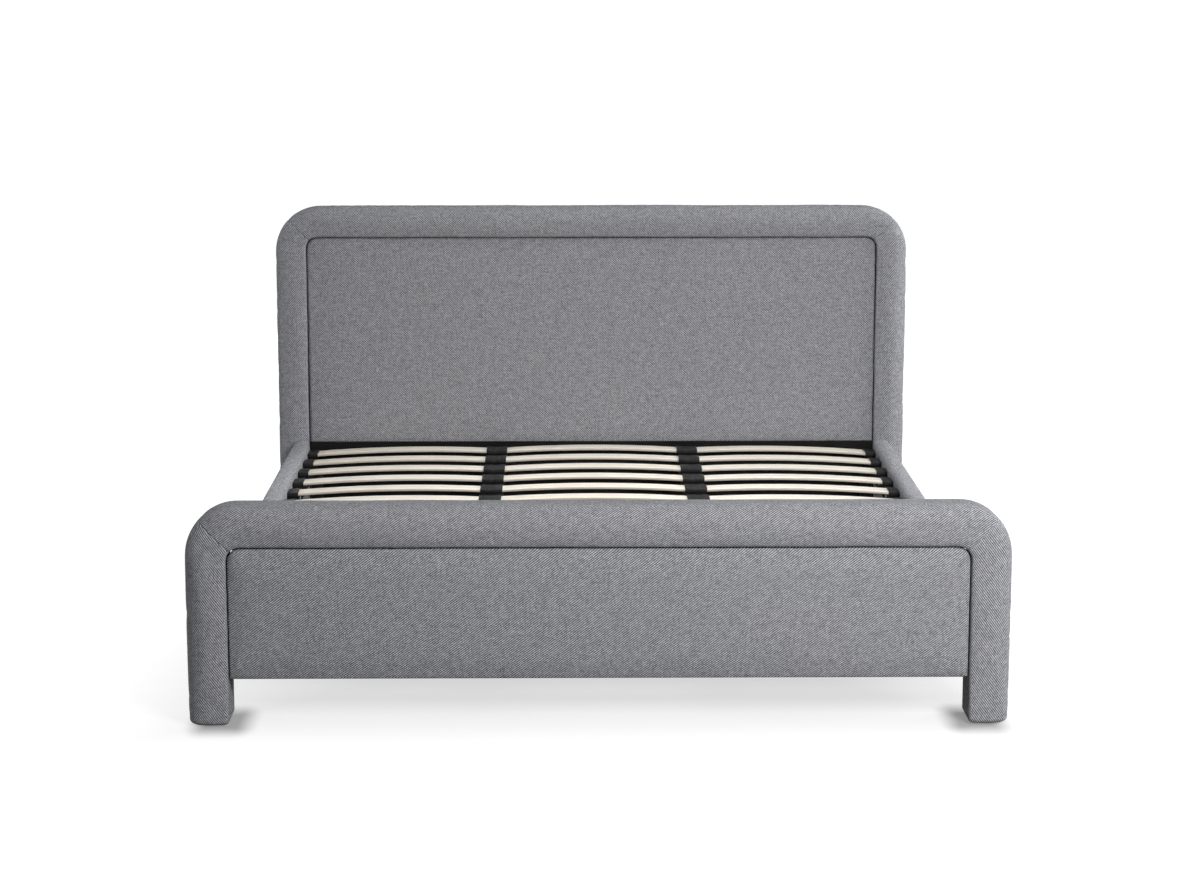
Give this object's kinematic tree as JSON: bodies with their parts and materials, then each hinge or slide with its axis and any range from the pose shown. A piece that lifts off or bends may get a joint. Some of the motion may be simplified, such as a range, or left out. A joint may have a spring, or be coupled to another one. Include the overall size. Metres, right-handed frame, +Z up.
{
  "type": "upholstered bed frame",
  "caption": "Fabric-covered bed frame with a padded arched headboard, a matching low footboard, padded side rails and a slatted base.",
  "frame": {"origin": "on the floor under the middle of the whole bed", "axes": "+Y towards the headboard, +X to the right seen from the foot end, +Z up"},
  "size_m": [2.04, 2.29, 1.09],
  "materials": {
    "grey_fabric": "coarse two-tone grey weave",
    "frame_timber": "bare sawn pine",
    "birch_slat": "satin",
    "black_timber": "matte",
    "black_plastic": "matte",
    "zinc_steel": "satin",
    "black_steel": "matte"
  },
  "bodies": {
    "bed": {"headboard_border": "grey_fabric", "headboard_panel": "grey_fabric", "headboard_back_cover": "grey_fabric", "footboard_border": "grey_fabric", "footboard_panel": "grey_fabric", "side_rail_cover_left": "grey_fabric", "side_rail_cover_right": "grey_fabric", "headboard_frame": "frame_timber", "footboard_frame": "frame_timber", "side_rail_left": "frame_timber", "side_rail_right": "frame_timber", "slat_ledger_left": "black_timber", "slat_ledger_right": "black_timber", "centre_rail_left": "black_timber", "centre_rail_right": "black_timber", "head_rail": "black_timber", "foot_rail": "black_timber", "support_leg_left": "black_timber", "support_leg_right": "black_timber", "slat_left_01": "birch_slat", "slat_centre_01": "birch_slat", "slat_right_01": "birch_slat", "slat_left_02": "birch_slat", "slat_centre_02": "birch_slat", "slat_right_02": "birch_slat", "slat_left_03": "birch_slat", "slat_centre_03": "birch_slat", "slat_right_03": "birch_slat", "slat_left_04": "birch_slat", "slat_centre_04": "birch_slat", "slat_right_04": "birch_slat", "slat_left_05": "birch_slat", "slat_centre_05": "birch_slat", "slat_right_05": "birch_slat", "slat_left_06": "birch_slat", "slat_centre_06": "birch_slat", "slat_right_06": "birch_slat", "slat_left_07": "birch_slat", "slat_centre_07": "birch_slat", "slat_right_07": "birch_slat", "slat_left_08": "birch_slat", "slat_centre_08": "birch_slat", "slat_right_08": "birch_slat", "slat_left_09": "birch_slat", "slat_centre_09": "birch_slat", "slat_right_09": "birch_slat", "slat_left_10": "birch_slat", "slat_centre_10": "birch_slat", "slat_right_10": "birch_slat", "slat_left_11": "birch_slat", "slat_centre_11": "birch_slat", "slat_right_11": "birch_slat", "slat_left_12": "birch_slat", "slat_centre_12": "birch_slat", "slat_right_12": "birch_slat", "slat_left_13": "birch_slat", "slat_centre_13": "birch_slat", "slat_right_13": "birch_slat"},
    "foot_screw_left": {"levelling_foot_left": "black_plastic"},
    "foot_screw_right": {"levelling_foot_right": "black_plastic"}
  },
  "joints": [
    {"name": "levelling_left", "type": "slide", "parent": "bed", "child": "foot_screw_left", "axis": [0, 0, 1], "range_m": [0, 0.012]},
    {"name": "levelling_right", "type": "slide", "parent": "bed", "child": "foot_screw_right", "axis": [0, 0, 1], "range_m": [0, 0.012]}
  ]
}
